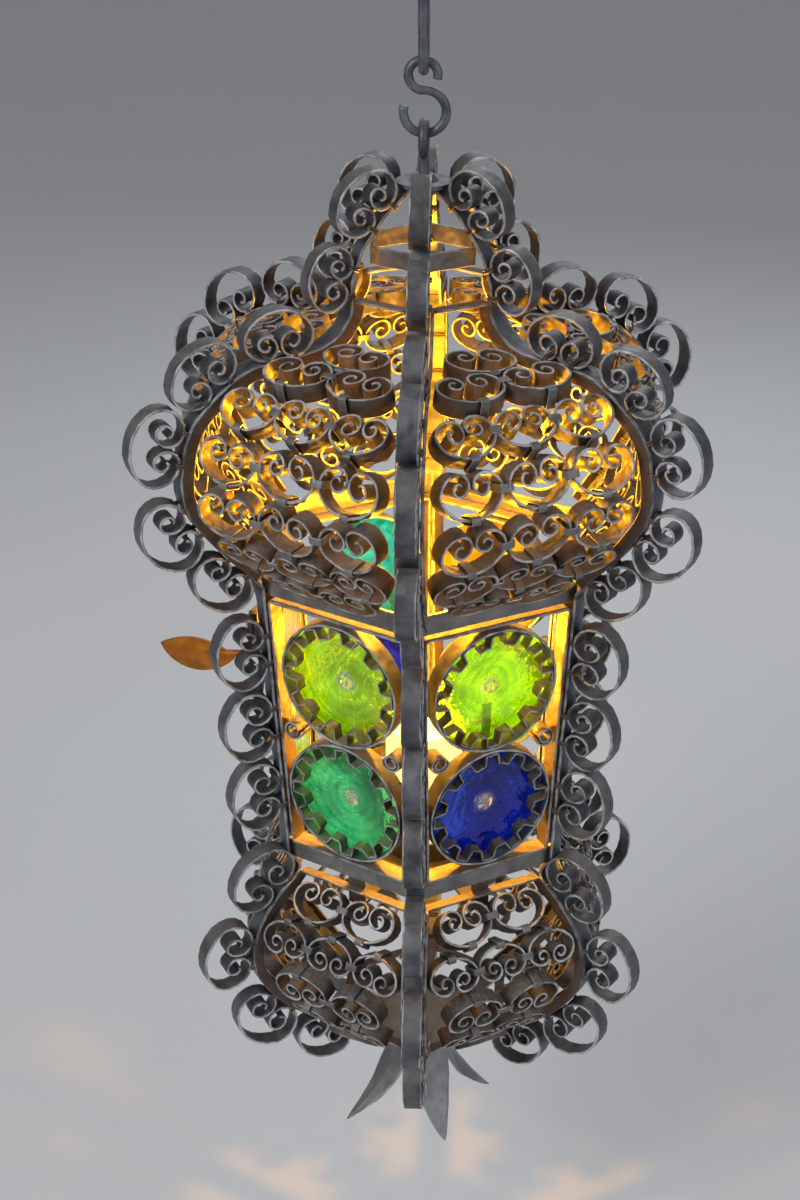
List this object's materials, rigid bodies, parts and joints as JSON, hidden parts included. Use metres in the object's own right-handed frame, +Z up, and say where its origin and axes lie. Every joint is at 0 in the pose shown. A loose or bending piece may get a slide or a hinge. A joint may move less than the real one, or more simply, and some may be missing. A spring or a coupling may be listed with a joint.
{
  "type": "hanging candle lantern",
  "caption": "Wrought-iron candle lantern with a scrolled dome and basket, bottle-glass rondels in a hexagonal body, a hinged door and an S-hook on a long link.",
  "frame": {"origin": "inside of the top bend of the hanging link, where the lantern hangs", "axes": "+Z up along the lantern's vertical axis; -Y toward one rib; -X toward the door"},
  "size_m": [0.3537, 0.3884, 0.8482],
  "materials": {
    "wrought_iron": "dark forged iron, worn and dusty",
    "lime_glass": "blown, rippled",
    "emerald_glass": "blown, rippled",
    "cobalt_glass": "blown, rippled",
    "amber_glass": "blown, rippled",
    "teal_glass": "blown, rippled",
    "wax": "smooth candle wax",
    "wick": "charred cotton"
  },
  "bodies": {
    "link": {"hanging_link": "wrought_iron"},
    "hook": {"s_hook": "wrought_iron"},
    "lantern": {"top_eye": "wrought_iron", "crown_cap": "wrought_iron", "eye_nut": "wrought_iron", "dome_ribs": "wrought_iron", "dome_edge_scrolls": "wrought_iron", "top_ring": "wrought_iron", "dome_frames": "wrought_iron", "dome_scrolls_1": "wrought_iron", "dome_scrolls_2": "wrought_iron", "dome_scrolls_3": "wrought_iron", "dome_scrolls_4": "wrought_iron", "dome_scrolls_5": "wrought_iron", "dome_scrolls_6": "wrought_iron", "dome_rail": "wrought_iron", "body_posts": "wrought_iron", "body_frames": "wrought_iron", "body_rings": "wrought_iron", "body_meanders": "wrought_iron", "glass_lime": "lime_glass", "glass_emerald": "emerald_glass", "glass_cobalt": "cobalt_glass", "glass_amber": "amber_glass", "glass_teal": "teal_glass", "body_tabs": "wrought_iron", "filler_curls": "wrought_iron", "body_edge_scrolls": "wrought_iron", "body_rail": "wrought_iron", "basket_ribs": "wrought_iron", "basket_frames": "wrought_iron", "basket_scrolls": "wrought_iron", "basket_edge_scrolls": "wrought_iron", "bottom_plate": "wrought_iron", "leaf_left": "wrought_iron", "leaf_front": "wrought_iron", "leaf_right": "wrought_iron", "leaf_rivets": "wrought_iron", "candle_pan": "wrought_iron", "pan_cradle": "wrought_iron", "candle_socket": "wrought_iron", "hinge_pintles": "wrought_iron", "latch_keeper": "wrought_iron"},
    "door": {"door_frame": "wrought_iron", "door_rings": "wrought_iron", "door_meanders": "wrought_iron", "door_glass_upper": "amber_glass", "door_glass_lower": "lime_glass", "door_tabs": "wrought_iron", "door_filler": "wrought_iron", "hinge_eyes": "wrought_iron"},
    "latch": {"latch": "wrought_iron"},
    "candle": {"candle": "wax", "wick": "wick"}
  },
  "joints": [
    {"name": "hook_swing", "type": "hinge", "parent": "link", "child": "hook", "pos_m": [0, 0, -0.09], "axis": [0, 1, 0], "range_deg": [-35, 35]},
    {"name": "lantern_swing", "type": "hinge", "parent": "hook", "child": "lantern", "pos_m": [0.0005, 0, -0.1263], "axis": [1, 0, 0], "range_deg": [-30, 30]},
    {"name": "door_swing", "type": "hinge", "parent": "lantern", "child": "door", "pos_m": [-0.1048, -0.0465, -0.47], "axis": [0, 0, 1], "range_deg": [0, 85]},
    {"name": "latch_turn", "type": "hinge", "parent": "door", "child": "latch", "pos_m": [-0.095, 0.038, -0.493], "axis": [-1, 0, 0], "range_deg": [0, 90]},
    {"name": "candle_lift", "type": "slide", "parent": "lantern", "child": "candle", "axis": [0, 0, 1], "range_m": [0, 0.06]}
  ]
}
